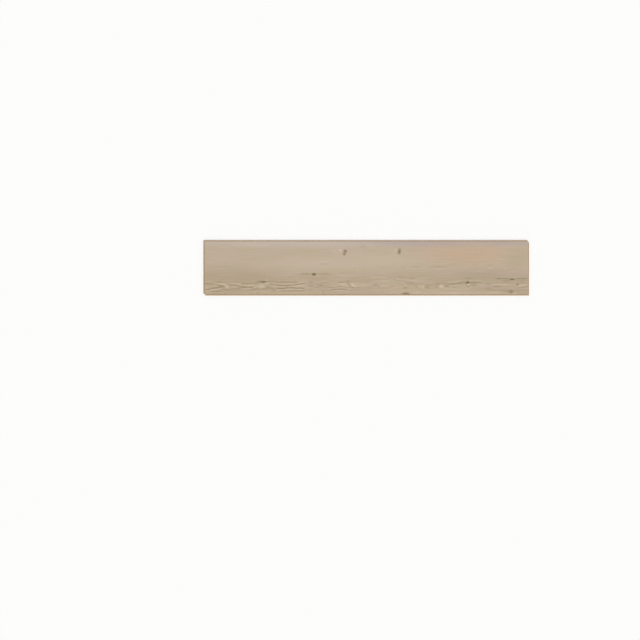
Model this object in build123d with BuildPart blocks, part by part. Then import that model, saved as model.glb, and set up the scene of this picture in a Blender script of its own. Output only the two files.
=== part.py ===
from build123d import *
import os
from dataclasses import dataclass
from math import radians, sqrt, tan

# One laminate floor plank: a single pressed fibreboard, with a click joint milled along all four edges.
#
# Sizes are in millimetres. X runs along the plank, Y across it and Z up. The origin is on the underside,
# below the centre of the visible face. That face runs from joint plane to joint plane. The tongues reach
# past it into the next plank, and the lower lips reach past it under the next plank.
#
# The tongues are on the +Y side and at the -X end, the grooves on the -Y side and at the +X end.

# The board as it shows once it is laid
face_length = 1207.0
face_width = 198.0
thickness = 8.0
micro_bevel = 0.6  # 45 degree bevel round the visible face, in width and in depth

# The click joint: heights above the underside, and distances from the joint plane
pivot_height = thickness - micro_bevel  # a plank turns about this corner as it is angled into the last one
tongue_top = 5.2
belly_radius = 5.3  # the tongue's underside is a round about the pivot, so that it can turn in
nose_radius = 0.8
heel = 1.3  # how far behind the joint plane the locking faces start
lock_slope = 50.0  # degrees from level, on both locking faces
lip_height = 3.0  # top of the ridge on the lower lip
ridge_fall = 0.7  # chamfer over the lip's outer edge
toe_chamfer = 0.4  # chamfer under the lip's outer edge
lead_in = 0.4  # chamfer at the mouth of the groove
play = 0.05  # gap between the faces that guide the tongue
room = 0.3  # gap between faces that must never touch
cutter_radius = 0.3  # left by the milling cutters in the inner corners


@dataclass
class ClickJoint:
    """What differs between the joint along the sides and the shorter one at the ends."""

    tongue_flat: float  # level part of the tongue's top
    nose_slope: float  # fall of the tongue's top from there to the nose, in degrees
    lip_reach: float  # how far the lower lip stands out past the joint plane


side_joint = ClickJoint(tongue_flat=2.4, nose_slope=25.0, lip_reach=4.2)
end_joint = ClickJoint(tongue_flat=1.9, nose_slope=35.0, lip_reach=3.6)


def height_on_round(radius, distance):
    """Height of the round about the pivot, at this distance from the joint plane."""
    return pivot_height - sqrt(radius**2 - distance**2)


def where_top_meets_round(top, joint, radius):
    """Where the sloping top, level as far as tongue_flat, runs into the round: distance and height."""
    fall = tan(radians(joint.nose_slope))
    drop = pivot_height - top - fall * joint.tongue_flat  # of the slope below the pivot, at distance 0
    square = 1 + fall**2
    distance = (sqrt(square * radius**2 - drop**2) - fall * drop) / square
    return distance, height_on_round(radius, distance)


def board_section(half, tongue_side, joint):
    """Section across the board, with its tongue on one edge and its groove on the other.

    half is the distance from the middle to either joint plane, and tongue_side is 1 or -1.
    """

    def at_tongue(distance, height):
        return (tongue_side * (half + distance), height)

    def at_groove(distance, height):
        return (-tongue_side * (half + distance), height)

    def on_lock_face(foot, height):
        return heel + (height - foot) / tan(radians(lock_slope))

    heel_height = height_on_round(belly_radius, heel)
    nose = where_top_meets_round(tongue_top, joint, belly_radius)
    notch_depth = joint.lip_reach + room
    notch_height = lip_height + room

    ceiling = tongue_top + play
    bowl_radius = belly_radius + play
    bowl_foot = height_on_round(bowl_radius, heel)
    end_depth, end_height = where_top_meets_round(ceiling, joint, bowl_radius)

    with BuildSketch() as section:
        with BuildLine():
            # Tongue edge from the underside up: notch for the next plank's lip, locking face, belly, top
            notch = Polyline(
                at_tongue(-notch_depth, 0),
                at_tongue(-notch_depth, notch_height),
                at_tongue(-on_lock_face(heel_height, notch_height), notch_height),
                at_tongue(-heel, heel_height),
            )
            belly = ThreePointArc(notch @ 1, at_tongue(0, pivot_height - belly_radius), at_tongue(*nose))
            tongue = Polyline(
                belly @ 1,
                at_tongue(joint.tongue_flat, tongue_top),
                at_tongue(0, tongue_top),
                at_tongue(0, pivot_height),
                at_tongue(-micro_bevel, thickness),
            )
            # Groove edge from the face down: upper lip, groove, bowl in the lower lip, locking ridge, toe
            upper_lip = Polyline(
                tongue @ 1,
                at_groove(-micro_bevel, thickness),
                at_groove(0, pivot_height),
                at_groove(0, ceiling + lead_in),
                at_groove(-lead_in, ceiling),
                at_groove(-joint.tongue_flat, ceiling),
                at_groove(-end_depth, end_height),
            )
            bowl = ThreePointArc(
                upper_lip @ 1, at_groove(0, pivot_height - bowl_radius), at_groove(heel, bowl_foot)
            )
            Polyline(
                bowl @ 1,
                at_groove(on_lock_face(bowl_foot, lip_height), lip_height),
                at_groove(joint.lip_reach - ridge_fall, lip_height),
                at_groove(joint.lip_reach, lip_height - ridge_fall),
                at_groove(joint.lip_reach, toe_chamfer),
                at_groove(joint.lip_reach - toe_chamfer, 0),
                notch @ 0,
            )
        make_face()
        rounds = (
            (at_tongue(*nose), nose_radius),
            (at_groove(-end_depth, end_height), cutter_radius),
            (at_tongue(-notch_depth, notch_height), cutter_radius),
            (at_groove(on_lock_face(bowl_foot, lip_height), lip_height), cutter_radius),
        )
        for corner, radius in rounds:
            fillet(section.vertices().sort_by_distance(corner)[0], radius)
    return section.sketch


# The side joints are milled along the whole board first, then the end joints across it
with BuildPart() as milled:
    with BuildSketch(Plane.YZ):
        add(board_section(face_width / 2, 1, side_joint))
    extrude(amount=face_length, both=True)
    with BuildSketch(Plane.XZ):
        add(board_section(face_length / 2, -1, end_joint))
    extrude(amount=face_width, both=True, mode=Mode.INTERSECT)

# Two slivers of lip, cut free where the joints cross at opposite corners, fall away
with BuildPart() as plank:
    add(milled.solids().sort_by(SortBy.VOLUME)[-1])

plank.part.label = "plank"

os.makedirs("parts", exist_ok=True)
export_step(plank.part, "parts/plank.step")
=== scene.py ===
"""A laminate floor plank with a limed pine decor, lying face up under plain studio light.

The board's own solid gives the milled edges. Its decor face is a fine grid, pressed in register with the
printed grain: each of its points carries the figure of the print, which the material paints and the relief
follows.
Sizes are in millimetres where a name or a comment says so, and meshes are in metres.
"""

import logging
import math
from collections.abc import Callable
from dataclasses import dataclass
from enum import Enum

import bmesh
import bpy
import numpy as np
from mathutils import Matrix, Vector


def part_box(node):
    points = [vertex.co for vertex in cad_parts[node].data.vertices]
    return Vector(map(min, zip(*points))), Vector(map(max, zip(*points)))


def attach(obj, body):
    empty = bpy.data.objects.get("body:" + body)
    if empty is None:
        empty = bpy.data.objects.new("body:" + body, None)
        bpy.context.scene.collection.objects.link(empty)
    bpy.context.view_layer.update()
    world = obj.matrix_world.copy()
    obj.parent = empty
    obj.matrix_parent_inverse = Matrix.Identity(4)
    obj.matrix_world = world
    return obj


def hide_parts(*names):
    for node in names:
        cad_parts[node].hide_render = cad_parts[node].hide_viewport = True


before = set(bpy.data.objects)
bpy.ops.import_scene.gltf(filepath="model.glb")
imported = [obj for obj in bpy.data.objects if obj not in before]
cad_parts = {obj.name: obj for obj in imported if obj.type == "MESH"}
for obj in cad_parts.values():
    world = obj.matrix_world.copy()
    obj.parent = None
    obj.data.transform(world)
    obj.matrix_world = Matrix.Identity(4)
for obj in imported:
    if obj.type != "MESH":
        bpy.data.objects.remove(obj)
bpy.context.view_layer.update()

log = logging.getLogger("plank")

MM = 0.001  # metres in a millimetre
BOARD_NODE = "plank"
BOARD_BODY = "root"
MAP_NAME = "OFBake"


def linear(code: str) -> tuple[float, float, float, float]:
    """Turns an sRGB hex colour into the linear one that shaders take.

    Args:
        code: Six hex digits after a hash sign.

    Returns:
        Red, green, blue and an alpha of 1.
    """
    shares = [int(code[i : i + 2], 16) / 255 for i in (1, 3, 5)]
    red, green, blue = (s / 12.92 if s <= 0.04045 else ((s + 0.055) / 1.055) ** 2.4 for s in shares)
    return red, green, blue, 1.0


def add_node(
    tree: bpy.types.NodeTree,
    kind: str,
    settings: dict | None = None,
    inputs: dict | None = None,
) -> bpy.types.Node:
    """Adds a node with its settings and links.

    Args:
        tree: The material's or the geometry's tree.
        kind: The node's type.
        settings: Its properties, by name.
        inputs: What goes into its sockets, by name or number: a value, a socket or a Field.

    Returns:
        The node.
    """
    node = tree.nodes.new(kind)
    for name, value in (settings or {}).items():
        setattr(node, name, value)
    for name, value in (inputs or {}).items():
        source = value.socket if isinstance(value, Field) else value
        if isinstance(source, bpy.types.NodeSocket):
            tree.links.new(source, node.inputs[name])
        else:
            node.inputs[name].default_value = source
    return node


class Field:
    """A number that changes from place to place, which formulas can be written with."""

    def __init__(self, tree: bpy.types.NodeTree, socket: bpy.types.NodeSocket) -> None:
        """Keeps the tree and the socket that carries the number."""
        self.tree = tree
        self.socket = socket

    def through(self, operation: str, *others: "Field | float") -> "Field":
        """Puts the field through one operation.

        Args:
            operation: The operation's name.
            others: Its other operands.

        Returns:
            The result.
        """
        operands = dict(enumerate((self, *others)))
        node = add_node(self.tree, "ShaderNodeMath", {"operation": operation}, operands)
        return Field(self.tree, node.outputs[0])

    def __add__(self, other: "Field | float") -> "Field":
        """The sum."""
        return self.through("ADD", other)

    def __sub__(self, other: "Field | float") -> "Field":
        """The difference."""
        return self.through("SUBTRACT", other)

    def __mul__(self, other: "Field | float") -> "Field":
        """The product."""
        return self.through("MULTIPLY", other)

    def __truediv__(self, other: "Field | float") -> "Field":
        """The quotient."""
        return self.through("DIVIDE", other)

    def __or__(self, other: "Field | float") -> "Field":
        """The higher of the two."""
        return self.through("MAXIMUM", other)

    def squared(self) -> "Field":
        """The square, also of a negative number."""
        return self.through("MULTIPLY", self)

    def rise(self, start: "Field | float", end: "Field | float") -> "Field":
        """Goes smoothly from 0 to 1 as the field goes from start to end.

        Args:
            start: Where the result leaves 0.
            end: Where it reaches 1. It may be below start.

        Returns:
            The result, from 0 to 1.
        """
        node = add_node(
            self.tree,
            "ShaderNodeMapRange",
            {"interpolation_type": "SMOOTHSTEP"},
            {"Value": self, "From Min": start, "From Max": end},
        )
        return Field(self.tree, node.outputs["Result"])

    def between(self, start: float, full: float, fading: float, gone: float) -> "Field":
        """Goes smoothly from 0 up to 1 and down again, as the field goes through four values."""
        return self.rise(start, full) * self.rise(gone, fading)

    def over_range(self, low: float, high: float) -> "Field":
        """Stretches 0 to 1 over another range."""
        return self * (high - low) + low


@dataclass(frozen=True)
class Streaks:
    """A random pattern of soft streaks, whose strength is mostly from 0.3 to 0.7 and 0.5 on average."""

    along: float  # mm, their length along the board
    across: float  # mm, their width
    layer: float  # a number of its own for each pattern, so that no two are alike
    detail: float = 2.0  # how many finer patterns are laid over the first
    deep: float = math.inf  # mm, their height. A print has no end to it, and is the same all the way down.
    shows: tuple[float, float] = (0.0, 1.0)  # strengths at which they start to show, and show fully
    roughness: float = 0.55  # how strong each finer pattern is against the last


class Place:
    """A point of the board in millimetres: x along it, y across it and z up."""

    def __init__(self, tree: bpy.types.NodeTree, vector: bpy.types.NodeSocket) -> None:
        """Splits the point into its three numbers."""
        self.tree = tree
        self.vector = vector
        parts = add_node(tree, "ShaderNodeSeparateXYZ", inputs={0: vector})
        self.x, self.y, self.z = (Field(tree, part) for part in parts.outputs)

    @classmethod
    def from_metres(cls, tree: bpy.types.NodeTree, position: bpy.types.NodeSocket) -> "Place":
        """Turns a position in metres into a place.

        Args:
            tree: The tree that the position is in.
            position: The position's socket.

        Returns:
            The place.
        """
        scaled = add_node(
            tree, "ShaderNodeVectorMath", {"operation": "SCALE"}, {0: position, "Scale": 1 / MM}
        )
        return cls(tree, scaled.outputs[0])

    def moved(self, along: Field | float, across: Field | float) -> "Place":
        """The place, moved along the board and across it."""
        step = add_node(self.tree, "ShaderNodeCombineXYZ", inputs={"X": along, "Y": across})
        ends = {0: self.vector, 1: step.outputs[0]}
        return Place(self.tree, add_node(self.tree, "ShaderNodeVectorMath", inputs=ends).outputs[0])

    def streaks(self, pattern: Streaks) -> Field:
        """Draws a random pattern.

        Args:
            pattern: The streaks to draw.

        Returns:
            Their strength at this place.
        """
        scale = (1 / pattern.along, 1 / pattern.across, 1 / pattern.deep)
        vector = add_node(
            self.tree,
            "ShaderNodeVectorMath",
            {"operation": "MULTIPLY_ADD"},
            {0: self.vector, 1: scale, 2: (0.0, 0.0, pattern.layer)},
        )
        noise = add_node(
            self.tree,
            "ShaderNodeTexNoise",
            {"noise_dimensions": "3D"},
            {
                "Vector": vector.outputs[0],
                "Scale": 1.0,
                "Detail": pattern.detail,
                "Roughness": pattern.roughness,
            },
        )
        return Field(self.tree, noise.outputs[0])

    def shown(self, pattern: Streaks) -> Field:
        """How much of a pattern shows at this place, from 0 to 1."""
        return self.streaks(pattern).rise(*pattern.shows)

    def swing(self, pattern: Streaks, reach: float) -> Field:
        """A pattern as a distance either way, mostly within a fifth of the reach."""
        return (self.streaks(pattern) - 0.5) * reach

    def course(self, stations: tuple[tuple[float, float], ...]) -> Field:
        """A value that is given at stations along the board and runs smoothly between them.

        Args:
            stations: Distance from the middle in millimetres, and the value there, from left to right.

        Returns:
            The value at this place.
        """
        start, end = stations[0][0], stations[-1][0]
        low = min(value for _, value in stations) - 1.0
        span = max(value for _, value in stations) + 1.0 - low
        places = [((x - start) / (end - start), (value - low) / span) for x, value in stations]
        share = (self.x - start) / (end - start)
        node = add_node(self.tree, "ShaderNodeFloatCurve", inputs={"Value": share})
        points = node.mapping.curves[0].points
        for spot in places[1:-1]:
            points.new(*spot)
        points[0].location = places[0]
        points[len(points) - 1].location = places[-1]
        for point in points:
            point.handle_type = "AUTO_CLAMPED"
        node.mapping.update()
        return Field(self.tree, node.outputs[0]) * span + low


def formula(
    tree: bpy.types.NodeTree,
    name: str,
    inputs: dict,
    write: Callable[[dict[str, Field]], tuple[Field, ...]],
) -> list[Field]:
    """Uses a formula as a node group, so that each use costs the tree one node.

    Args:
        tree: The tree that uses it.
        name: The formula's name.
        inputs: What goes in, by name: numbers, vectors, sockets or Fields.
        write: Builds the formula from its inputs. It is called at the first use in a tree of this type.

    Returns:
        What comes out.
    """
    kind = tree.bl_idname
    group = bpy.data.node_groups.get(f"{name}_{kind}")
    if group is None:
        group = bpy.data.node_groups.new(f"{name}_{kind}", kind)
        for key, value in inputs.items():
            vector = isinstance(value, tuple) or getattr(value, "type", "VALUE") == "VECTOR"
            socket = "NodeSocketVector" if vector else "NodeSocketFloat"
            group.interface.new_socket(key, in_out="INPUT", socket_type=socket)
        given = add_node(group, "NodeGroupInput").outputs
        results = write({key: Field(group, given[key]) for key in inputs})
        for number, _ in enumerate(results):
            group.interface.new_socket(f"Result {number}", in_out="OUTPUT", socket_type="NodeSocketFloat")
        add_node(group, "NodeGroupOutput", inputs=dict(enumerate(results)))
    node = add_node(tree, kind.replace("Tree", "Group"), {"node_tree": group}, inputs)
    return [Field(tree, output) for output in node.outputs]


@dataclass(frozen=True)
class Mark:
    """An oval mark in the print, fullest in its middle and gone at its rim."""

    x: float  # mm from the middle of the face
    y: float
    along: float  # mm, half its length
    across: float  # mm, half its width
    strength: float  # 0 to 1
    lean: float = 0.0  # degrees from the board's length, anticlockwise
    fullness: float = 1.0  # share of the way in at which it is full, from 0, at once, to 1, in its middle
    heart: float = 0.0  # share of its strength that its heart lacks

    HEART_RIM = (0.65, 0.15)  # shares of the way out, from where its heart starts to where it is full

    def middle(self, place: Place) -> dict[str, Field | float]:
        """A place and the mark's middle, as inputs of a formula."""
        return {"X": place.x, "Y": place.y, "Middle X": self.x, "Middle Y": self.y}

    @staticmethod
    def written(given: dict[str, Field]) -> tuple[Field, ...]:
        """The mark's formula."""
        off_x = given["X"] - given["Middle X"]
        off_y = given["Y"] - given["Middle Y"]
        along = off_x.through("MULTIPLY_ADD", given["Along X"], off_y * given["Along Y"])
        across = off_x.through("MULTIPLY_ADD", given["Across X"], off_y * given["Across Y"])
        out = along.through("MULTIPLY_ADD", along, across.squared()).through("SQRT")
        hollow = out.rise(*Mark.HEART_RIM) * given["Heart"] * -1.0 + 1.0
        return (out.rise(1.0, given["Core"]) * given["Strength"] * hollow | given["Before"],)

    def cover(self, place: Place, before: Field | float = 0.0) -> Field:
        """How much of the mark is at a place.

        Args:
            place: A point of the face.
            before: How much of the marks before it is there.

        Returns:
            The higher of the two, from 0 to 1.
        """
        turn = math.radians(self.lean)
        given = self.middle(place) | {
            "Along X": math.cos(turn) / self.along,
            "Along Y": math.sin(turn) / self.along,
            "Across X": -math.sin(turn) / self.across,
            "Across Y": math.cos(turn) / self.across,
            "Core": 1.0 - self.fullness,
            "Strength": self.strength,
            "Heart": self.heart,
            "Before": before,
        }
        return formula(place.tree, "oval_mark", given, self.written)[0]


@dataclass(frozen=True)
class Cloud(Mark):
    """A broad soft mark of another tone."""

    colour: str = "#BEAE95"


@dataclass(frozen=True)
class Knot(Mark):
    """A small dark knot that the grain parts round."""

    fullness: float = 0.65
    parting: float = 1.5  # how far round it the grain is pushed, in half widths of the knot
    stretch: float = 3.2  # the grain parts this many times further along the board than across it

    @staticmethod
    def parted(given: dict[str, Field]) -> tuple[Field, ...]:
        """The formula of the grain's parting."""
        off_x = (given["X"] - given["Middle X"]) / given["Stretch"]
        off_y = given["Y"] - given["Middle Y"]
        reach = given["Reach"]
        return (off_y * reach / (off_x.squared() + off_y.squared() | reach) + given["Before"],)

    def push(self, place: Place, before: Field | float = 0.0) -> Field:
        """How far across the board the grain is pushed aside at a place.

        Args:
            place: A point of the face.
            before: How far the knots before it push the grain.

        Returns:
            The sum of the two, in millimetres.
        """
        given = self.middle(place) | {
            "Stretch": self.stretch,
            "Reach": (self.across * self.parting) ** 2,
            "Before": before,
        }
        return formula(place.tree, "parted_grain", given, self.parted)[0]


@dataclass(frozen=True)
class GrainLine:
    """The dark line of one growth ring, with limed wood above and below it."""

    strength: float  # 0 to 1
    stations: tuple[tuple[float, float], ...]  # mm, along the board and across it, from left to right
    above: float = 0.0  # how white the wood above it is limed, from 0 to 1
    below: float = 0.0
    half_width: float = 3.6  # mm
    taper: float = 14.0  # mm, over which it fades in and out at its ends

    # Distances from the line in half widths
    SIDES = (-0.3, 0.3)  # where what is below it ends, and what is above it starts
    LIME_SPAN = (0.3, 1.3, 1.5, 2.6)  # where its lime starts, is full, starts to fade and is gone

    @staticmethod
    def written(given: dict[str, Field]) -> tuple[Field, ...]:
        """The line's formula, with distances across it in half widths."""
        off = (given["Y"] - given["Line"]) / given["Half Width"]
        away = off.through("ABSOLUTE")
        there = given["From Start"].rise(0.0, given["Taper"]) * given["To End"].rise(0.0, given["Taper"])
        dark = away.rise(1.0, 0.0) * there * given["Strength"]
        side = off.rise(*GrainLine.SIDES) * (given["Above"] - given["Below"]) + given["Below"]
        lime = away.between(*GrainLine.LIME_SPAN) * there * side
        return dark | given["Dark Before"], lime | given["Lime Before"]

    def cover(self, place: Place, before: tuple[Field | float, Field | float]) -> tuple[Field, Field]:
        """How much of the line and of its lime is at a place.

        Args:
            place: A point of the face.
            before: How much of the lines before it and of their lime is there.

        Returns:
            The higher ones of the dark line and of the pale lime, each from 0 to 1.
        """
        given = {
            "Y": place.y,
            "Line": place.course(self.stations),
            "From Start": place.x - self.stations[0][0],
            "To End": place.x * -1.0 + self.stations[-1][0],
            "Taper": self.taper,
            "Half Width": self.half_width,
            "Strength": self.strength,
            "Above": self.above,
            "Below": self.below,
            "Dark Before": before[0],
            "Lime Before": before[1],
        }
        dark, lime = formula(place.tree, "grain_line", given, self.written)
        return dark, lime


def together(marks: tuple[Mark, ...], place: Place) -> Field:
    """How much of any of the marks is at a place, the fullest counting.

    Args:
        marks: Marks of one tone.
        place: A point of the face.

    Returns:
        From 0 to 1.
    """
    cover = marks[0].cover(place)
    for mark in marks[1:]:
        cover = mark.cover(place, cover)
    return cover


# Knots of this print, left to right
KNOTS = (
    Knot(x=-384, y=-52.5, along=12, across=4.6, strength=0.75),
    Knot(x=-195.5, y=-24, along=10.5, across=8, strength=0.85),
    Knot(x=-79, y=62, along=10, across=9.5, strength=0.62),
    Knot(x=-82, y=53, along=7, across=13, strength=0.55, parting=0.4),
    Knot(x=123, y=61.5, along=8, across=16, strength=0.62, lean=-8, parting=0.6),
    Knot(x=146, y=-96.5, along=22, across=7, strength=0.72),
    Knot(x=378, y=-54.5, along=9, across=6.5, strength=0.88),
    Knot(x=544, y=-42.7, along=12, across=6, strength=0.85),
    Knot(x=538.5, y=-88, along=14, across=8.8, strength=0.56, fullness=0.7, heart=0.45, parting=0.9),
    Knot(x=562, y=-62.3, along=6.5, across=5.5, strength=0.7, parting=0.6),
)

# Lines of the rings that stand out, from the left end to the right
GRAIN_LINES = (
    # Loop at the left end, and the line under it
    GrainLine(
        0.5, ((-608, -58), (-584, -58), (-571, -59), (-558, -62.4), (-549, -64.7), (-530, -69)), above=0.35
    ),
    GrainLine(
        0.65,
        ((-608, -81), (-588, -80.4), (-577, -76.7), (-566, -75.5), (-554, -74.6), (-545, -72), (-530, -69)),
        below=0.45,
    ),
    GrainLine(
        0.5,
        (
            (-585, -87), (-565, -87.4), (-553, -86.2), (-543, -81.7), (-533, -79.7),
            (-520, -81.5), (-490, -84),
        ),
    ),
    GrainLine(0.38, ((-530, -83.5), (-515, -83), (-487, -84.2), (-468, -83), (-435, -83.6), (-410, -84))),
    # Two tips that meet, and the eye-shaped figure round the first knot
    GrainLine(
        0.6,
        (
            (-510, -64), (-487, -64.3), (-474.6, -66.2), (-465.6, -68.8), (-458, -71.4), (-446, -71.6),
            (-433, -72), (-424.5, -75.2), (-417, -77.6), (-398, -77.5),
        ),
        above=0.35,
    ),
    GrainLine(0.45, ((-402, -77.5), (-390, -77), (-377, -76.4), (-362, -70))),
    GrainLine(0.38, ((-508, -76.5), (-487, -76.5), (-474, -75.9), (-455, -72)), above=0.5),
    GrainLine(0.45, ((-474, -61.5), (-455, -59.8), (-436, -60.5), (-419, -60.5), (-396, -62)), below=0.5),
    GrainLine(0.45, ((-433, -72), (-423, -69.4), (-416, -67.6), (-404, -63.5))),
    GrainLine(
        0.5,
        ((-412, -52), (-384, -52.7), (-366, -50.4), (-345, -53), (-324, -54.2), (-301, -54.2), (-250, -54)),
        below=0.3,
    ),
    # Long straight rings right of it
    GrainLine(
        0.75,
        (
            (-368, -61), (-350, -61.7), (-331, -63.9), (-312, -66.2), (-292, -65.6), (-273, -64.3),
            (-260, -62.4), (-247, -60.5), (-220, -56.3),
        ),
        above=0.35,
        below=0.4,
        taper=20.0,
    ),
    GrainLine(
        0.85,
        (
            (-340, -76.5), (-324, -76.8), (-305, -75.9), (-292, -74.6), (-279, -74.6), (-266, -75.2),
            (-247, -75.2), (-231, -76.8), (-225, -77.2),
        ),
        above=0.45,
        below=0.55,
        taper=16.0,
    ),
    GrainLine(
        0.5,
        ((-330, -84), (-299, -84.9), (-286, -84.9), (-273, -83.7), (-254, -84.2), (-223, -84.2)),
        taper=16.0,
    ),
    # Short rings left of the middle
    GrainLine(
        0.6,
        ((-140, -82), (-116, -80.4), (-97, -79.7), (-80.4, -80.4), (-75, -81.7), (-67, -84.2), (-57, -85)),
        above=0.3,
        below=0.35,
    ),
    GrainLine(0.45, ((-115, -68.6), (-91, -69.4), (-78, -72.7), (-70, -74.6), (-59, -75.2))),
    # Faint arcs above the knot at the lower edge
    GrainLine(0.17, ((15, -33), (36, -28.6), (66, -29.6), (86, -34), (104, -36.5)), below=0.2, taper=9.0),
    GrainLine(0.3, ((100, -37), (106, -40), (113, -47), (128, -50)), taper=6.0),
    GrainLine(0.45, ((127, -45), (131, -47), (138, -51.5), (156, -54), (182, -54)), taper=9.0),
    # Rings through the three knots on the right
    GrainLine(
        0.6,
        (
            (298, -61.5), (328, -59.8), (348, -56.6), (368, -54.5), (378, -55), (390, -54.6), (413, -54.7),
            (440, -55.5),
        ),
        above=0.2,
        below=0.12,
    ),
    GrainLine(
        0.8,
        ((476, -39.7), (507, -40), (527, -41.1), (544, -42.7), (558, -40.6), (575, -39.7), (605, -39)),
    ),
    GrainLine(0.4, ((552, -76), (575, -73.7), (588, -71), (607, -68.4)), above=0.3),
)

# Short dark strokes, left to right: x, y, half length, half width, strength and lean
DARK_STROKES = (
    (-598, -81, 8, 5.5, 0.5),
    (-588, -80.5, 9, 5.5, 0.55),
    (-550, -51.5, 30, 6, 0.3),
    (-538, -69, 16, 5.5, 0.6),
    (-473, -72.5, 16, 5, 0.4),
    (-456, -71.4, 24, 6, 0.6),
    (-435, -83.8, 16, 5, 0.35),
    (-431, -72, 13, 6, 0.6),
    (-404, -91.3, 9, 6, 0.35),
    (-396, -52, 20, 6, 0.5),
    (-373.5, -65, 12, 5, 0.4, -25),
    (-371, -50.4, 14, 4.5, 0.5),
    (-365.5, -72, 12, 6, 0.5, 25),
    (-350, -79.6, 18, 5, 0.45),
    (-350, -88.7, 20, 5, 0.3),
    (-208, -67.5, 14, 9, 0.25),
    (-208, -82.3, 16, 5, 0.25),
    (-206, -54, 18, 5, 0.4),
    (-227, -22.5, 46, 4.6, 0.38),
    (-163, -22.5, 52, 4.6, 0.4),
    (-186.5, -61.7, 8, 5, 0.4),
    (-186.5, -72.7, 9, 5, 0.4),
    (-171.7, -65, 12, 9, 0.3),
    (-162.7, -90.7, 10, 6, 0.25),
    (-157, -54.7, 26, 5, 0.35),
    (-158, 14.5, 32, 5, 0.2),
    (-128, -72.7, 26, 4.5, 0.5),
    (-92, -54, 22, 5, 0.4),
    (-88, -20.5, 16, 4, 0.2),
    (-71, -50.2, 14, 5, 0.4),
    (-67.5, -60, 11, 8, 0.4),
    (-61, -69.4, 8, 6, 0.6),
    (-50, -73.3, 12, 5, 0.55),
    (-36, -73.3, 24, 4.5, 0.3),
    (-12, 80, 20, 8, 0.22),
    (16, -69.4, 26, 4.5, 0.25),
    (33.7, -64.3, 11, 6.5, 0.5),
    (45, -68.7, 12, 5, 0.35, -20),
    (43, 80, 22, 4, 0.2),
    (90, -36, 16, 5, 0.35),
    (128, -35.8, 32, 5, 0.3),
    (141, 4, 16, 6, 0.2),
    (145.6, -74.6, 14, 9, 0.35),
    (168, -39.5, 28, 5, 0.35),
    (187, -69.4, 7, 5, 0.35),
    (185, 4, 44, 6, 0.28),
    (226, -72, 14, 12, 0.25),
    (264, -72, 14, 8, 0.35),
    (266, -61, 12, 7, 0.35),
    (268, 3.5, 50, 6, 0.25),
    (299, -68.3, 16, 5.5, 0.6, -14),
    (326, 15.5, 12, 4, 0.2),
    (328, -73.3, 20, 5, 0.3),
    (370, -60, 7, 5, 0.4),
    (381, -39.2, 34, 5, 0.35),
    (382, -68.9, 16, 5, 0.4),
    (403, -65, 8, 6, 0.5),
    (404, 9.3, 18, 4, 0.2),
    (455, -60, 18, 6, 0.3),
    (455, -75, 16, 7, 0.3),
    (462, 9.3, 16, 4, 0.22),
    (486, -69.6, 32, 5, 0.5),
    (505, 39, 18, 4, 0.22),
    (515, -85, 34, 8, 0.25),
    (522, -87, 15, 6, 0.42),
    (525, -48.6, 26, 9, 0.35),
    (541, -82.5, 8, 4.5, 0.45),
    (541.5, -92, 7, 4.5, 0.6),
    (560, -87, 16, 5, 0.42),
    (570, -45.2, 36, 5, 0.3),
    (583, -54, 14, 5, 0.35),
)

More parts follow.
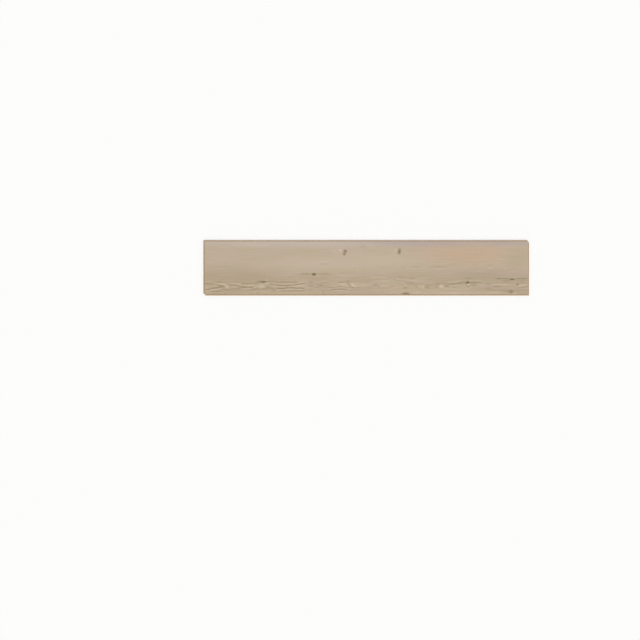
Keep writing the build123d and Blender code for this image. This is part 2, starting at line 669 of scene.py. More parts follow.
# Limed spots, left to right, in the same way
LIMED_STROKES = (
    (-598, -75, 10, 6, 0.4),
    (-581, 22, 10, 4, 0.25),
    (-563, -66, 20, 7, 0.4),
    (-565, -81.8, 30, 5, 0.3),
    (-535, -61, 26, 5.5, 0.55, -6),
    (-519, -70, 16, 8, 0.5, -35),
    (-492, -71, 22, 5.5, 0.5),
    (-478, -60.6, 17, 5, 0.6),
    (-445, -77.4, 44, 4.5, 0.5),
    (-414, -73, 13, 5.5, 0.6),
    (-390, -69, 30, 13, 0.6),
    (-372, -46.3, 11, 5, 0.5),
    (-372, -60, 14, 7, 0.5),
    (-354, -84.2, 11, 4, 0.5),
    (-270, -68.8, 14, 5, 0.3),
    (-252, -19.5, 14, 3.5, 0.25),
    (-246, -68.4, 20, 6, 0.4),
    (-186.5, -66.9, 9, 5, 0.45),
    (-186.5, -77.8, 8, 4.5, 0.4),
    (-170, -92.6, 9, 5, 0.4),
    (-159, -50.2, 22, 4.5, 0.3),
    (-157, 24, 34, 5, 0.25),
    (-128, -68.5, 26, 4, 0.3),
    (-128, -77.2, 26, 4, 0.3),
    (-97, 65.5, 9, 9, 0.6),
    (-87, -25.5, 12, 4, 0.25),
    (-86, -60.5, 22, 7, 0.5),
    (-70, -68.8, 8, 5, 0.45),
    (-66, -79.7, 9, 4.5, 0.4),
    (-51, -62.4, 11, 7, 0.8),
    (-46, -68.2, 20, 6, 0.65),
    (-33, -9, 12, 5, 0.25),
    (-10, -65, 50, 6, 0.35),
    (34, -70, 8, 4, 0.3),
    (68, -49, 30, 7, 0.25),
    (68, -66, 34, 7, 0.25),
    (92, -40, 14, 4, 0.25),
    (109, 66, 9, 8, 0.4),
    (117, -40.5, 18, 5, 0.35),
    (144, -62, 20, 5, 0.36, -40),
    (172, -47, 46, 5, 0.3, -3),
    (187, -92, 26, 5, 0.45),
    (197, -68, 12, 6, 0.3),
    (211, -70, 11, 8, 0.5),
    (278.5, -69.2, 17, 7, 0.9),
    (275, -3, 44, 5, 0.25),
    (326, -94.5, 40, 5, 0.35),
    (329, 23, 9, 4, 0.2),
    (357, -49.5, 40, 5, 0.15),
    (366, -61, 8, 5, 0.5),
    (375.5, -77.2, 9, 4.5, 0.4),
    (380.5, -62.4, 10, 6, 0.85),
    (387, -73.3, 9, 5, 0.5),
    (388, -48.9, 9, 5, 0.5),
    (421, -13.5, 22, 4, 0.2),
    (462, 0, 16, 5, 0.35),
    (480, -92, 46, 5.5, 0.4),
    (503, -62.8, 60, 6, 0.45),
    (505, 34.5, 18, 4, 0.35),
    (517, -3, 18, 5, 0.25),
    (542, -75, 9, 5, 0.3),
    (545, -11.5, 18, 5, 0.2),
    (554, -95.4, 16, 6, 0.4),
    (556.5, -62, 6.5, 6, 0.8),
    (578, -66.5, 32, 8, 0.45, 12),
)
DARK_GRAIN = tuple(Mark(*stroke) for stroke in DARK_STROKES)
LIMED = tuple(Mark(*stroke) for stroke in LIMED_STROKES)

# Clouds of other tones, from the top edge down
CLOUDS = (
    Cloud(x=-250, y=97, along=700, across=29, colour="#BEAFA2", strength=0.85, fullness=0.7),
    Cloud(x=330, y=97, along=480, across=27, colour="#AD9E99", strength=0.85, fullness=0.7),
    Cloud(x=372, y=50, along=290, across=66, colour="#BEA286", strength=0.9),
    Cloud(x=565, y=30, along=70, across=66, colour="#B0A083", strength=0.8),
    Cloud(x=30, y=28, along=340, across=60, colour="#BEAD95", strength=0.8),
    Cloud(x=-220, y=12, along=270, across=46, colour="#C4B39C", strength=0.4),
    Cloud(x=-540, y=-36, along=330, across=66, colour="#AA987C", strength=0.75),
    Cloud(x=-450, y=-84, along=330, across=34, colour="#AF9C80", strength=0.8),
    Cloud(x=-300, y=-95, along=210, across=12, colour="#BEAA8E", strength=0.5, fullness=0.7),
    Cloud(x=-40, y=-84, along=200, across=26, colour="#B39E8A", strength=0.7),
    Cloud(x=-80, y=-62, along=120, across=14, colour="#C1AC91", strength=0.6),
    Cloud(x=115, y=-75, along=150, across=16, colour="#C0AC90", strength=0.4),
    Cloud(x=200, y=-86, along=260, across=26, colour="#BAA78C", strength=0.6),
    Cloud(x=450, y=-28, along=270, across=40, colour="#A7947E", strength=0.65),
    Cloud(x=340, y=-97, along=280, across=7, colour="#C4B096", strength=0.45, fullness=0.6),
    Cloud(x=440, y=-79, along=110, across=12, colour="#A48F76", strength=0.5),
    Cloud(x=540, y=-80, along=110, across=26, colour="#AD977F", strength=0.7),
)


class Shade(Enum):
    """Colours of the limed pine print, as they are on the paper."""

    BEIGE = "#B8A68F"
    BROWN = "#AD9A7E"
    PINK = "#BEA696"
    OLIVE = "#B2A585"
    LATEWOOD = "#816E4E"
    LIME = "#CFC0A8"
    KNOT = "#5F5036"


class Layer(Enum):
    """What each point of the face carries of the print's figure, from 0 to 1 except for the shift."""

    SHIFT = "grain_shift"  # mm, how far across the board the grain has wandered
    EARLYWOOD = "earlywood"  # the pale half of each growth ring
    LATEWOOD = "latewood"  # its dark line
    LIMING = "liming"  # white lime beside the lines that stand out
    LINES = "grain_lines"  # those lines, and single dark strokes
    KNOTS = "knots"

    def at(self, tree: bpy.types.NodeTree) -> Field:
        """Reads the layer in a tree.

        Args:
            tree: The material's or the geometry's tree.

        Returns:
            What the point carries.
        """
        if tree.bl_idname == "ShaderNodeTree":
            node = add_node(tree, "ShaderNodeAttribute", {"attribute_name": self.value})
            return Field(tree, node.outputs["Fac"])
        node = add_node(
            tree, "GeometryNodeInputNamedAttribute", {"data_type": "FLOAT"}, {"Name": self.value}
        )
        return Field(tree, node.outputs["Attribute"])


class Paint:
    """A colour that other colours are laid over."""

    def __init__(self, tree: bpy.types.NodeTree, ground: Enum) -> None:
        """Starts from the ground colour."""
        self.tree = tree
        self.socket: bpy.types.NodeSocket | tuple[float, ...] = linear(ground.value)

    def over(self, colour: Enum | str, cover: Field) -> None:
        """Lays a colour over what is there.

        Args:
            colour: The colour to lay on.
            cover: How much of it covers, from 0 to 1.
        """
        code = colour if isinstance(colour, str) else colour.value
        mix = add_node(self.tree, "ShaderNodeMix", {"data_type": "RGBA"}, {"Factor": cover})
        ground, top = (s for s in mix.inputs if s.type == "RGBA")
        if isinstance(self.socket, bpy.types.NodeSocket):
            self.tree.links.new(self.socket, ground)
        else:
            ground.default_value = self.socket
        top.default_value = linear(code)
        self.socket = next(s for s in mix.outputs if s.type == "RGBA")


class Finish:
    """A surface finish that is drawn by formulas and can be made a material."""

    name = "finish"
    ior = 1.5

    def look(self, place: Place) -> tuple[Paint, Field | float, Field]:
        """Draws the finish.

        Args:
            place: A point of the surface.

        Returns:
            Its colour, its roughness and its height in millimetres.
        """
        raise NotImplementedError

    def material(self) -> bpy.types.Material:
        """Makes the finish a material.

        Returns:
            The material, named for what it is.
        """
        made = bpy.data.materials.new(self.name)
        made.use_nodes = True
        tree = made.node_tree
        tree.nodes.clear()
        coordinates = add_node(tree, "ShaderNodeTexCoord")
        paint, roughness, height = self.look(Place.from_metres(tree, coordinates.outputs["Object"]))
        bump = add_node(
            tree, "ShaderNodeBump", inputs={"Strength": 1.0, "Distance": MM, "Height": height}
        )
        inputs = {
            "Base Color": paint.socket,
            "Roughness": roughness,
            "IOR": self.ior,
            "Normal": bump.outputs["Normal"],
        }
        shader = add_node(tree, "ShaderNodeBsdfPrincipled", inputs=inputs)
        add_node(tree, "ShaderNodeOutputMaterial", inputs={"Surface": shader.outputs[0]})
        return made


@dataclass(frozen=True)
class LimedPineDecor(Finish):
    """Printed decor paper under a melamine overlay, pressed against an embossed steel plate.

    The paper shows a flat-sawn pine board, brushed and rubbed with white lime. The lower third is cut near
    the pith, so that the growth rings show there as long loops. The overlay gives it a satin surface,
    a little glossier on the hard latewood, with pores pressed in where the print has them.
    """

    name = "limed_pine_decor_laminate"

    face_length: float  # mm
    face_width: float  # mm
    height: float  # mm, of the face above the underside
    roughness: float = 0.46
    latewood_gloss: float = 0.05  # taken off the roughness on the hard latewood
    pore_dullness: float = 0.08  # added to it in the pores

    # What is pressed in, in mm
    latewood_relief: float = 0.11
    knot_relief: float = 0.16
    pore_relief: float = 0.06
    overlay_relief: float = 0.012  # of the pressed sheet's own fine texture
    side_fade: float = 2.0  # from the long edges in to the full relief
    end_fade: float = 4.0  # from the ends

    # Random patterns
    slow_wander: Streaks = Streaks(230, 70, layer=1.0)
    quick_wander: Streaks = Streaks(40, 13, layer=2.0)
    ring_wear: Streaks = Streaks(60, 6, layer=3.0, shows=(0.30, 0.58))
    pore_marks: Streaks = Streaks(16, 1.5, layer=4.0, detail=1.0, shows=(0.60, 0.74))
    rim_along: Streaks = Streaks(10, 3, layer=5.0)
    rim_across: Streaks = Streaks(12, 4, layer=6.0)
    pink_patches: Streaks = Streaks(170, 34, layer=7.0, shows=(0.46, 0.66))
    olive_patches: Streaks = Streaks(150, 30, layer=8.0, shows=(0.46, 0.66))
    fibres: Streaks = Streaks(120, 2.2, layer=9.0, detail=3.0)
    overlay_grain: Streaks = Streaks(1.6, 1.1, layer=10.0)
    line_wear: Streaks = Streaks(26, 5, layer=11.0, shows=(0.25, 0.55))
    brush_marks: Streaks = Streaks(34, 1.1, layer=12.0, shows=(0.36, 0.62))

    # How far the patterns move the figure, in mm
    slow_reach: float = 5.0
    quick_reach: float = 3.6
    rim_reach_along: float = 9.0
    rim_reach_across: float = 4.5

    # Cover of each tone where it is fullest, and of worn or brushed lines from where they show least
    brown_cover: float = 0.9
    pink_cover: float = 0.55
    olive_cover: float = 0.5
    fibre_cover: float = 0.16
    fibre_lime_cover: float = 0.22
    earlywood_cover: float = 0.42
    latewood_cover: float = 0.72
    pore_cover: float = 0.12
    bevel_cover: float = 0.15
    ring_cover: tuple[float, float] = (0.45, 1.0)
    ring_own_cover: tuple[float, float] = (0.7, 1.0)
    line_cover: tuple[float, float] = (0.6, 1.0)
    brushed_cover: tuple[float, float] = (0.72, 1.22)
    knot_cover: tuple[float, float] = (0.6, 1.0)

    # Where tones show
    brown_side: tuple[float, float] = (20.0, -60.0)  # mm across the board, from none to full
    dark_fibres: tuple[float, float] = (0.50, 0.75)  # strength of the fibres, from none to full
    pale_fibres: tuple[float, float] = (0.50, 0.26)
    bevel_drop: tuple[float, float] = (0.02, 0.12)  # mm below the face, from none to full

    # Growth rings
    ring_width: float = 6.5  # mm, from one latewood line to the next, as the log grew
    ring_reach: tuple[float, float] = (46.0, 12.0)  # mm off the pith line, from where none show to all do
    # Shares of a ring at which its dark and its pale wood start, are full, fade and are gone
    latewood_span: tuple[float, ...] = (0.52, 0.90, 0.93, 1.0)
    earlywood_span: tuple[float, ...] = (0.02, 0.16, 0.28, 0.62)

    # Line under which the pith runs: distances in mm from the middle of the board, along it and across it
    pith_line: tuple[tuple[float, float], ...] = (
        (-608, -69), (-531, -68.7), (-486, -70.4), (-449, -71.4), (-427, -72), (-397, -70.2),
        (-337, -70.2), (-262, -69), (-234, -67.5), (-143, -71), (-106, -72), (-61, -69.4),
        (32, -67.2), (144, -69), (301, -69), (376, -67.6), (608, -68),
    )

    # Depth of the pith below the face, in ring widths. Each loop is a stretch where the pith comes nearer.
    pith_depth: tuple[tuple[float, float], ...] = (
        (-608, 2.15), (-590, 2.25), (-566, 2.68), (-533, 2.92), (-500, 3.79), (-475, 3.85),
        (-456, 3.92), (-433, 3.92), (-415, 3.84), (-390, 3.70), (-370, 3.80), (-357, 3.95),
        (-335, 1.72), (-285, 1.68), (-240, 1.70), (-215, 2.4), (-160, 2.5), (-110, 1.9),
        (-60, 2.1), (0, 2.4), (80, 2.6), (150, 3.6), (230, 2.7), (300, 2.1), (420, 2.0), (608, 2.0),
    )

    # How strongly the rings show, from 0 to 1
    ring_strength: tuple[tuple[float, float], ...] = (
        (-608, 0.35), (-540, 0.4), (-480, 0.35), (-430, 0.4), (-380, 0.3), (-358, 0.22),
        (-346, 0.12), (-334, 0.35), (-240, 0.35), (-222, 0.15), (-150, 0.15), (-120, 0.3),
        (-60, 0.3), (-20, 0.18), (60, 0.15), (150, 0.2), (250, 0.2), (300, 0.3), (440, 0.25),
        (608, 0.35),
    )

    def grain(self, place: Place) -> Place:
        """Where a place would be if the grain ran straight.

        Args:
            place: A point of the face.

        Returns:
            The point, moved across the board by the grain's wander and the knots.
        """
        wander = place.swing(self.slow_wander, self.slow_reach)
        wander = wander + place.swing(self.quick_wander, self.quick_reach)
        straight = place.moved(0.0, wander)
        push = KNOTS[0].push(straight)
        for knot in KNOTS[1:]:
            push = knot.push(straight, push)
        return straight.moved(0.0, push * -1.0)

    def rings(self, straight: Place) -> tuple[Field, Field]:
        """The growth rings where they show.

        Args:
            straight: A point with straight grain.

        Returns:
            The dark latewood lines and the pale earlywood between them, each from 0 to 1.
        """
        tree = straight.tree
        depth = straight.course(self.pith_depth)
        off = straight.y - straight.course(self.pith_line)
        ring = ((off / self.ring_width).squared() + depth.squared()).through("SQRT")
        part = ring.through("FRACT")
        own = add_node(
            tree, "ShaderNodeTexWhiteNoise", {"noise_dimensions": "1D"}, {"W": ring.through("FLOOR")}
        )
        shown = straight.course(self.ring_strength) * off.through("ABSOLUTE").rise(*self.ring_reach)
        shown = shown * straight.shown(self.ring_wear).over_range(*self.ring_cover)
        dark = part.between(*self.latewood_span) * shown
        dark = dark * Field(tree, own.outputs["Value"]).over_range(*self.ring_own_cover)
        pale = part.between(*self.earlywood_span) * shown
        return dark, pale

    def grain_lines(self, ragged: Place) -> tuple[Field, Field]:
        """The single lines that stand out of the rings.

        Args:
            ragged: A point with uneven rims.

        Returns:
            The dark lines and the lime beside them, each from 0 to 1.
        """
        covers = (0.0, 0.0)
        for line in GRAIN_LINES:
            covers = line.cover(ragged, covers)
        worn = ragged.shown(self.line_wear).over_range(*self.line_cover)
        return covers[0] * worn, covers[1] * worn

    def ragged(self, place: Place) -> Place:
        """The place, moved a little at random, so that marks get uneven rims."""
        along = place.swing(self.rim_along, self.rim_reach_along)
        across = place.swing(self.rim_across, self.rim_reach_across)
        return place.moved(along, across)

    def layers(self, place: Place) -> dict[Layer, Field]:
        """Draws the figure of the print.

        Args:
            place: A point of the face.

        Returns:
            What that point gets of each layer.
        """
        straight = self.grain(place)
        ragged = self.ragged(place)
        latewood, earlywood = self.rings(straight)
        lines, lime = self.grain_lines(ragged)
        return {
            Layer.SHIFT: straight.y - place.y,
            Layer.EARLYWOOD: earlywood,
            Layer.LATEWOOD: latewood,
            Layer.LIMING: lime | together(LIMED, ragged),
            Layer.LINES: lines | together(DARK_GRAIN, ragged),
            Layer.KNOTS: together(KNOTS, ragged),
        }

    def relief(self, place: Place) -> Field:
        """How deep the face is pressed in, in millimetres.

        Args:
            place: A point of the face, which carries its layers.

        Returns:
            The depth, which is 0 along the bevel.
        """
        tree = place.tree
        depth = (Layer.LATEWOOD.at(tree) | Layer.LINES.at(tree)) * self.latewood_relief
        depth = depth | Layer.KNOTS.at(tree) * self.knot_relief
        from_side = (place.y.through("ABSOLUTE") - self.face_width / 2) * -1.0
        from_end = (place.x.through("ABSOLUTE") - self.face_length / 2) * -1.0
        return depth * from_side.rise(0.0, self.side_fade) * from_end.rise(0.0, self.end_fade)

    def look(self, place: Place) -> tuple[Paint, Field, Field]:
        """Paints the print and presses its pores in.

        Args:
            place: A point of the face or its bevel, which carries its layers.

        Returns:
            The colour, the roughness and the height of the overlay's texture in millimetres.
        """
        tree = place.tree
        straight = place.moved(0.0, Layer.SHIFT.at(tree))
        latewood = Layer.LATEWOOD.at(tree)
        lines = Layer.LINES.at(tree)
        pores = straight.shown(self.pore_marks)

        paint = Paint(tree, Shade.BEIGE)
        paint.over(Shade.BROWN, place.y.rise(*self.brown_side) * self.brown_cover)
        paint.over(Shade.PINK, place.shown(self.pink_patches) * self.pink_cover)
        paint.over(Shade.OLIVE, place.shown(self.olive_patches) * self.olive_cover)
        for cloud in CLOUDS:
            paint.over(cloud.colour, cloud.cover(place))
        fibres = straight.streaks(self.fibres)
        paint.over(Shade.LATEWOOD, fibres.rise(*self.dark_fibres) * self.fibre_cover)
        paint.over(Shade.LIME, fibres.rise(*self.pale_fibres) * self.fibre_lime_cover)
        paint.over(Shade.LIME, Layer.EARLYWOOD.at(tree) * self.earlywood_cover)
        paint.over(Shade.LATEWOOD, latewood * self.latewood_cover)
        paint.over(Shade.LIME, Layer.LIMING.at(tree))
        paint.over(Shade.LATEWOOD, pores * self.pore_cover)
        brushed = straight.shown(self.brush_marks).over_range(*self.brushed_cover)
        paint.over(Shade.LATEWOOD, lines * brushed)
        paint.over(Shade.KNOT, Layer.KNOTS.at(tree) * brushed.over_range(*self.knot_cover))
        bevel = place.z.rise(*(self.height - drop for drop in self.bevel_drop))
        paint.over(Shade.LATEWOOD, bevel * self.bevel_cover)

        overlay = place.swing(self.overlay_grain, self.overlay_relief)
        height = overlay - pores * self.pore_relief
        rough = (latewood | lines) * -self.latewood_gloss + pores * self.pore_dullness + self.roughness
        return paint, rough, height


class BoardShade(Enum):
    """Colours of the board under its decor sheet."""

    FIBRE = "#BEA380"
    FIBRE_DARK = "#9A7F5E"
    FIBRE_PALE = "#D2BB9A"
    PAPER = "#A8967E"
    PAPER_DARK = "#917F67"


@dataclass(frozen=True)
class PressedFibreboard(Finish):
    """High density fibreboard: wood fibres pressed hot with resin, here cut by a milling cutter.

    It is brown, matt and finely speckled, darker towards both faces, where it is densest.
    """

    name = "milled_hdf_core"
    ior = 1.45

    height: float  # mm, of the board
    # Coarser than the real fibres of about 1 mm, so that they show
    fibres: Streaks = Streaks(2.4, 2.4, layer=100.0, detail=3.0, deep=0.5)
    chips: Streaks = Streaks(7.0, 7.0, layer=200.0, deep=1.6, shows=(0.5, 0.7))
    dark_fibres: tuple[float, float] = (0.48, 0.72)  # strength of the fibres, from none to full
    pale_fibres: tuple[float, float] = (0.46, 0.26)
    dark_cover: float = 0.6
    pale_cover: float = 0.5
    chip_cover: float = 0.25
    dense_from: tuple[float, float] = (1.6, 3.8)  # mm above or below the middle, from none to full
    dense_cover: float = 0.3
    fibre_relief: float = 0.05  # mm, how far fibres stand out of the cut
    paper: tuple[float, float] = (0.25, 0.20)  # mm up, where the backing paper's cut edge ends
    roughness: float = 0.78

    def look(self, place: Place) -> tuple[Paint, float, Field]:
        """Draws the milled fibreboard.

        Args:
            place: A point of the board's edges.

        Returns:
            The colour, the roughness and the height in millimetres.
        """
        fibres = place.streaks(self.fibres)
        paint = Paint(place.tree, BoardShade.FIBRE)
        paint.over(BoardShade.FIBRE_DARK, fibres.rise(*self.dark_fibres) * self.dark_cover)
        paint.over(BoardShade.FIBRE_PALE, fibres.rise(*self.pale_fibres) * self.pale_cover)
        paint.over(BoardShade.FIBRE_PALE, place.shown(self.chips) * self.chip_cover)
        off_middle = (place.z - self.height / 2).through("ABSOLUTE")
        paint.over(BoardShade.FIBRE_DARK, off_middle.rise(*self.dense_from) * self.dense_cover)
        paint.over(BoardShade.PAPER_DARK, place.z.rise(*self.paper))
        return paint, self.roughness, fibres * self.fibre_relief


@dataclass(frozen=True)
class BalancingPaper(Finish):
    """Resin-soaked kraft paper on the underside, which keeps the board from bowing.

    It is plain brown, slightly cloudy where the resin soaked in, and smoother than the milled board.
    """

    name = "balancing_kraft_paper"

    clouds: Streaks = Streaks(60, 40, layer=31.0, detail=4.0, shows=(0.42, 0.66))
    flecks: Streaks = Streaks(3.0, 2.0, layer=32.0, shows=(0.56, 0.74))
    cloud_cover: float = 0.45
    fleck_cover: float = 0.25
    fleck_relief: float = 0.02  # mm
    roughness: float = 0.55
    cloud_dullness: float = 0.1  # added to the roughness

    def look(self, place: Place) -> tuple[Paint, Field, Field]:
        """Draws the backing paper.

        Args:
            place: A point of the underside.

        Returns:
            The colour, the roughness and the height in millimetres.
        """
        clouds = place.streaks(self.clouds)
        flecks = place.streaks(self.flecks)
        paint = Paint(place.tree, BoardShade.PAPER)
        paint.over(BoardShade.PAPER_DARK, clouds.rise(*self.clouds.shows) * self.cloud_cover)
        paint.over(BoardShade.PAPER_DARK, flecks.rise(*self.flecks.shows) * self.fleck_cover)
        return paint, clouds * self.cloud_dullness + self.roughness, flecks * self.fleck_relief


class Surface(Enum):
    """Material slots of the board's mesh, in order."""

    DECOR = 0
    CORE = 1
    PAPER = 2


class Flow:
    """Geometry on its way through a tree, from one node to the next."""

    def __init__(self, tree: bpy.types.NodeTree, start: bpy.types.NodeSocket) -> None:
        """Keeps the tree and the geometry that comes in."""
        self.tree = tree
        self.geometry = start

    def then(self, kind: str, inputs: dict | None = None, settings: dict | None = None) -> None:
        """Sends the geometry through one more node.

        Args:
            kind: The node's type.
            inputs: What else goes into it.
            settings: Its properties, by name.
        """
        node = add_node(self.tree, kind, settings, {"Geometry": self.geometry} | (inputs or {}))
        self.geometry = node.outputs[0]


@dataclass
class DecorFace:
    """The pressed decor face: a fine grid that closes the board's body at its bevel."""

    decor: LimedPineDecor
    columns: int = 377  # points along the face, an odd number
    rows: int = 233  # points across it
    weld: float = 0.01  # mm, within which the grid's rim joins the body
    crease: float = math.radians(20)  # edges that bend more stay sharp
    mark: str = "pressed_face"  # name of what tells the grid's faces from the body's

    def tree(self) -> bpy.types.NodeTree:
        """Builds the Geometry Nodes tree that makes the face and joins it to the body.

        Returns:
            The tree, with its sizes as named inputs.
        """
        tree = bpy.data.node_groups.new("decor_face", "GeometryNodeTree")
        sockets = tree.interface
        sockets.new_socket("Geometry", in_out="OUTPUT", socket_type="NodeSocketGeometry")
        sockets.new_socket("Body", in_out="INPUT", socket_type="NodeSocketGeometry")
        for name in ("Face Length", "Face Width", "Face Height", "Weld Distance", "Crease Angle"):
            sockets.new_socket(name, in_out="INPUT", socket_type="NodeSocketFloat")
        for name in ("Columns", "Rows"):
            sockets.new_socket(name, in_out="INPUT", socket_type="NodeSocketInt")
        sockets.new_socket("Decor", in_out="INPUT", socket_type="NodeSocketMaterial")

        given = add_node(tree, "NodeGroupInput").outputs
        size = {
            "Size X": given["Face Length"],
            "Size Y": given["Face Width"],
            "Vertices X": given["Columns"],
            "Vertices Y": given["Rows"],
        }
        grid = add_node(tree, "GeometryNodeMeshGrid", inputs=size)
        lift = add_node(tree, "ShaderNodeCombineXYZ", inputs={"Z": given["Face Height"]})
        face = Flow(tree, grid.outputs["Mesh"])
        face.then("GeometryNodeSetPosition", {"Offset": lift.outputs[0]})
        face.then(
            "GeometryNodeStoreNamedAttribute",
            {"Name": self.mark, "Value": True},
            {"data_type": "BOOLEAN", "domain": "FACE"},
        )
        marked = add_node(
            tree, "GeometryNodeInputNamedAttribute", {"data_type": "BOOLEAN"}, {"Name": self.mark}
        ).outputs["Attribute"]
        joined = add_node(tree, "GeometryNodeJoinGeometry")
        tree.links.new(face.geometry, joined.inputs[0])
        tree.links.new(given["Body"], joined.inputs[0])
        board = Flow(tree, joined.outputs[0])
        board.then("GeometryNodeMergeByDistance", {"Distance": given["Weld Distance"]})
        position = add_node(tree, "GeometryNodeInputPosition")
        place = Place.from_metres(tree, position.outputs[0])
        for layer, value in self.decor.layers(place).items():
            board.then(
                "GeometryNodeStoreNamedAttribute",
                {"Name": layer.value, "Value": value},
                {"data_type": "FLOAT", "domain": "POINT"},
            )
        sink = add_node(tree, "ShaderNodeCombineXYZ", inputs={"Z": self.decor.relief(place) * -MM})
        board.then("GeometryNodeSetPosition", {"Selection": marked, "Offset": sink.outputs[0]})
        board.then("GeometryNodeSetShadeSmooth")
        angle = add_node(tree, "GeometryNodeInputMeshEdgeAngle")
        bent = Field(tree, angle.outputs[0]).through("GREATER_THAN", Field(tree, given["Crease Angle"]))
        board.then(
            "GeometryNodeSetShadeSmooth", {"Selection": bent, "Shade Smooth": False}, {"domain": "EDGE"}
        )
        board.then("GeometryNodeRealizeInstances")
        board.then("GeometryNodeSetMaterial", {"Selection": marked, "Material": given["Decor"]})
        add_node(tree, "NodeGroupOutput", inputs={"Geometry": board.geometry})
        return tree

    def close(self, body: bpy.types.Object, finish: bpy.types.Material) -> bpy.types.Mesh:
        """Closes the body with the face.

        Args:
            body: The board without its face, its rim split as the grid's is.
            finish: The decor's material.

        Returns:
            The whole board as a plain mesh.
        """
        tree = self.tree()
        modifier = body.modifiers.new("decor_face", "NODES")
        modifier.node_group = tree
        values = {
            "Face Length": self.decor.face_length * MM,
            "Face Width": self.decor.face_width * MM,
            "Face Height": self.decor.height * MM,
            "Weld Distance": self.weld * MM,
            "Crease Angle": self.crease,
            "Columns": self.columns,
            "Rows": self.rows,
            "Decor": finish,
        }
        for item in tree.interface.items_tree:
            if item.item_type == "SOCKET" and item.name in values:
                modifier[item.identifier] = values[item.name]
        graph = bpy.context.evaluated_depsgraph_get()
        mesh = bpy.data.meshes.new_from_object(body.evaluated_get(graph))
        body.modifiers.clear()
        return mesh


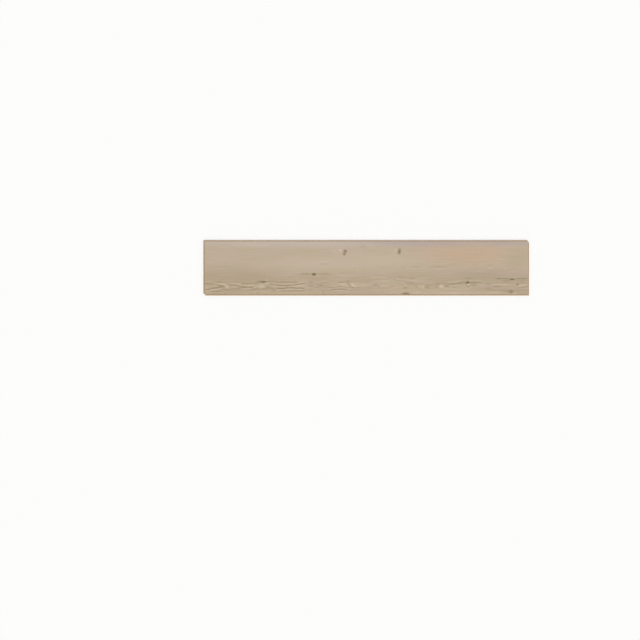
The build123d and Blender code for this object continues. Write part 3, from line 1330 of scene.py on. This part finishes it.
@dataclass
class Board:
    """The plank: the milled body of its solid, with the decor face pressed onto it."""

    node: bpy.types.Object
    bevel: float = 0.6  # mm, width and depth of the bevel round the face
    map_gap: float = 0.004  # share of the map left empty round each part of it
    map_rest: float = 0.2  # share of the map's height for everything but the face
    map_angle: float = 1.15  # radians between surfaces that are laid out apart
    near: float = 0.001  # mm, within which points of the solid count as one
    flat: float = math.radians(0.05)  # bend up to which triangles are one flat face

    def __post_init__(self) -> None:
        """Reads the board's thickness and its face from the solid."""
        self.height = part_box(self.node.name)[1].z
        corners = [v.co for v in self.node.data.vertices if v.co.z > self.height - self.near * MM]
        self.half_length = max(c.x for c in corners)
        self.half_width = max(c.y for c in corners)

    def body(self, face: DecorFace) -> bpy.types.Mesh:
        """The board without its face, open at the top, with the rim split for the face's grid.

        It is also cut across the middle, where the face's map is cut.

        Args:
            face: The face that will close it.

        Returns:
            The body's mesh, with a material number on each face.
        """
        work = bmesh.new()
        work.from_mesh(self.node.data)
        bmesh.ops.remove_doubles(work, verts=work.verts, dist=self.near * MM)
        bmesh.ops.dissolve_limit(work, angle_limit=self.flat, verts=work.verts, edges=work.edges)
        top = max(work.faces, key=lambda face: (face.calc_center_median().z, face.calc_area()))
        bmesh.ops.delete(work, geom=[top], context="FACES_ONLY")
        everything = [*work.verts, *work.edges, *work.faces]
        bmesh.ops.bisect_plane(work, geom=everything, plane_co=(0, 0, 0), plane_no=(1, 0, 0))
        for edge in [e for e in work.edges if e.is_boundary]:
            start, end = edge.verts
            step = end.co - start.co
            lengthways = abs(step.x) > abs(step.y)
            half, points = (self.half_length, face.columns) if lengthways else (self.half_width, face.rows)
            cell = 2 * half / (points - 1)
            for left in range(round(step.length / cell), 1, -1):
                edge, start = bmesh.utils.edge_split(edge, start, 1 / left)
                edge = next(e for e in start.link_edges if end in e.verts)
        for side in work.faces:
            side.material_index = self.surface_of(side).value
        mesh = bpy.data.meshes.new("plank_board")
        work.to_mesh(mesh)
        work.free()
        return mesh

    def surface_of(self, face: bmesh.types.BMFace) -> Surface:
        """Which surface a face of the body belongs to."""
        if min(v.co.z for v in face.verts) > self.height - (self.bevel + self.near) * MM:
            return Surface.DECOR
        if max(v.co.z for v in face.verts) < self.near * MM:
            return Surface.PAPER
        return Surface.CORE

    def lay_out(self, board: bpy.types.Object) -> None:
        """Gives the board its map, which holds the face's two halves, one over the other, and the rest.

        Args:
            board: The finished board.
        """
        mesh = board.data
        mesh.uv_layers.active = mesh.uv_layers.new(name=MAP_NAME)
        slots = np.empty(len(mesh.polygons), np.int32)
        mesh.polygons.foreach_get("material_index", slots)
        mesh.polygons.foreach_set("select", slots != Surface.DECOR.value)
        bpy.context.tool_settings.mesh_select_mode = (False, False, True)
        bpy.context.view_layer.objects.active = board
        bpy.ops.object.mode_set(mode="EDIT")
        bpy.ops.uv.smart_project(
            angle_limit=self.map_angle, island_margin=self.map_gap, scale_to_bounds=True
        )
        bpy.ops.object.mode_set(mode="OBJECT")

        corners = np.empty(len(mesh.loops), np.int32)
        counts = np.empty(len(mesh.polygons), np.int32)
        points = np.empty(3 * len(mesh.vertices), np.float32)
        spots = np.empty(2 * len(mesh.loops), np.float32)
        layer = mesh.uv_layers[MAP_NAME].uv
        mesh.loops.foreach_get("vertex_index", corners)
        mesh.polygons.foreach_get("loop_total", counts)
        mesh.vertices.foreach_get("co", points)
        layer.foreach_get("vector", spots)
        spots = spots.reshape(-1, 2)
        at = points.reshape(-1, 3)[corners]
        first = np.concatenate(([0], np.cumsum(counts)[:-1]))
        right = np.repeat(np.add.reduceat(at[:, 0], first) > 0, counts)
        decor = np.repeat(slots == Surface.DECOR.value, counts)

        bevel = self.bevel * MM
        strip = (1 - self.map_rest) / 2 - 2 * self.map_gap
        across = (at[:, 1] / (2 * (self.half_width + bevel)) + 0.5) * strip
        along = at[:, 0] / (self.half_length + bevel) + ~right
        level = self.map_rest + self.map_gap + ~right * (strip + 2 * self.map_gap)
        face = np.stack([along * (1 - 2 * self.map_gap) + self.map_gap, across + level], 1)
        rest = spots * (1 - 2 * self.map_gap, self.map_rest - 2 * self.map_gap) + self.map_gap
        layer.foreach_set("vector", np.where(decor[:, None], face, rest).astype(np.float32).ravel())

    def build(self) -> bpy.types.Object:
        """Builds and dresses the board.

        Returns:
            The board's object, which stands for the solid.
        """
        size = {
            "face_length": 2 * self.half_length / MM,
            "face_width": 2 * self.half_width / MM,
            "height": self.height / MM,
        }
        decor = LimedPineDecor(**size)
        finishes = [
            decor.material(),
            PressedFibreboard(decor.height).material(),
            BalancingPaper().material(),
        ]
        face = DecorFace(decor)
        board = bpy.data.objects.new("plank_board", self.body(face))
        for finish in finishes:
            board.data.materials.append(finish)
        bpy.context.scene.collection.objects.link(board)
        board.data = face.close(board, finishes[Surface.DECOR.value])
        self.lay_out(board)
        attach(board, BOARD_BODY)
        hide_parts(self.node.name)
        return board


@dataclass
class Studio:
    """A white floor and plain soft light from above."""

    floor_half: float = 30.0  # m
    floor_colour: str = "#FDFDFC"
    sky_colour: str = "#FFFFFF"
    sky: float = 0.6  # light from all round, where 1 alone would render colours as written
    lamp: float = 0.4  # the rest, from a broad far lamp
    lamp_angle: float = math.radians(24)  # how broad it looks from the board
    lamp_direction: Vector = Vector((-0.42, 0.46, -1.0))  # the way its light goes

    def build(self) -> None:
        """Builds the floor, the sky and the lamp."""
        mesh = bpy.data.meshes.new("floor")
        half = self.floor_half
        corners = [(-half, -half, 0), (half, -half, 0), (half, half, 0), (-half, half, 0)]
        mesh.from_pydata(corners, [], [(0, 1, 2, 3)])
        floor = bpy.data.objects.new("floor", mesh)
        bpy.context.scene.collection.objects.link(floor)
        paint = bpy.data.materials.new("white_floor_paint")
        paint.use_nodes = True
        paint.node_tree.nodes.clear()
        colour = {"Color": linear(self.floor_colour)}
        shader = add_node(paint.node_tree, "ShaderNodeBsdfDiffuse", inputs=colour)
        add_node(paint.node_tree, "ShaderNodeOutputMaterial", inputs={"Surface": shader.outputs[0]})
        mesh.materials.append(paint)

        world = bpy.data.worlds.new("plain_sky")
        bpy.context.scene.world = world
        world.use_nodes = True
        tree = world.node_tree
        tree.nodes.clear()
        path = add_node(tree, "ShaderNodeLightPath")
        seen = Field(tree, path.outputs["Is Camera Ray"]) | Field(tree, path.outputs["Is Glossy Ray"])
        strength = seen * (1.0 - self.sky) + self.sky
        glow = {"Color": linear(self.sky_colour), "Strength": strength}
        sky = add_node(tree, "ShaderNodeBackground", inputs=glow)
        add_node(tree, "ShaderNodeOutputWorld", inputs={"Surface": sky.outputs[0]})

        light = bpy.data.lights.new("soft_lamp", "SUN")
        light.angle = self.lamp_angle
        light.energy = self.lamp * math.pi / -self.lamp_direction.normalized().z
        lamp = bpy.data.objects.new("soft_lamp", light)
        lamp.rotation_euler = self.lamp_direction.to_track_quat("-Z", "Y").to_euler()
        bpy.context.scene.collection.objects.link(lamp)


@dataclass
class Viewpoint:
    """A camera that looks straight down, with the board where the photograph has it."""

    image: int = 640  # pixels, both ways
    scale: float = 1207.0 / 323.3  # mm a pixel: the laid face's length over the pitch of the butt joints
    centre_x: float = 366.3  # pixels, where the middle of the board's face lies in the picture
    centre_y: float = 267.9
    lens: float = 100.0  # mm
    sensor: float = 36.0  # mm
    reach: float = 60.0  # m, past which nothing is drawn

    def build(self) -> None:
        """Sets up the camera."""
        camera = bpy.data.cameras.new("camera")
        camera.lens = self.lens
        camera.sensor_width = self.sensor
        view_width = self.image * self.scale * MM
        seen = bpy.data.objects.new("camera", camera)
        seen.location = (
            (self.image / 2 - self.centre_x) * self.scale * MM,
            (self.centre_y - self.image / 2) * self.scale * MM,
            view_width * self.lens / self.sensor,
        )
        camera.clip_end = self.reach
        bpy.context.scene.collection.objects.link(seen)
        bpy.context.scene.camera = seen


def main() -> None:
    """Builds the board, the studio and the camera."""
    logging.basicConfig(level=logging.INFO, format="%(name)s: %(message)s")
    bpy.context.scene.view_settings.view_transform = "Standard"
    board = Board(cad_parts[BOARD_NODE]).build()
    log.info("%s: %d points, %d faces", board.name, len(board.data.vertices), len(board.data.polygons))
    Studio().build()
    log.info("floor, sky and lamp")
    Viewpoint().build()
    log.info("camera")


if __name__ == "__main__":
    main()
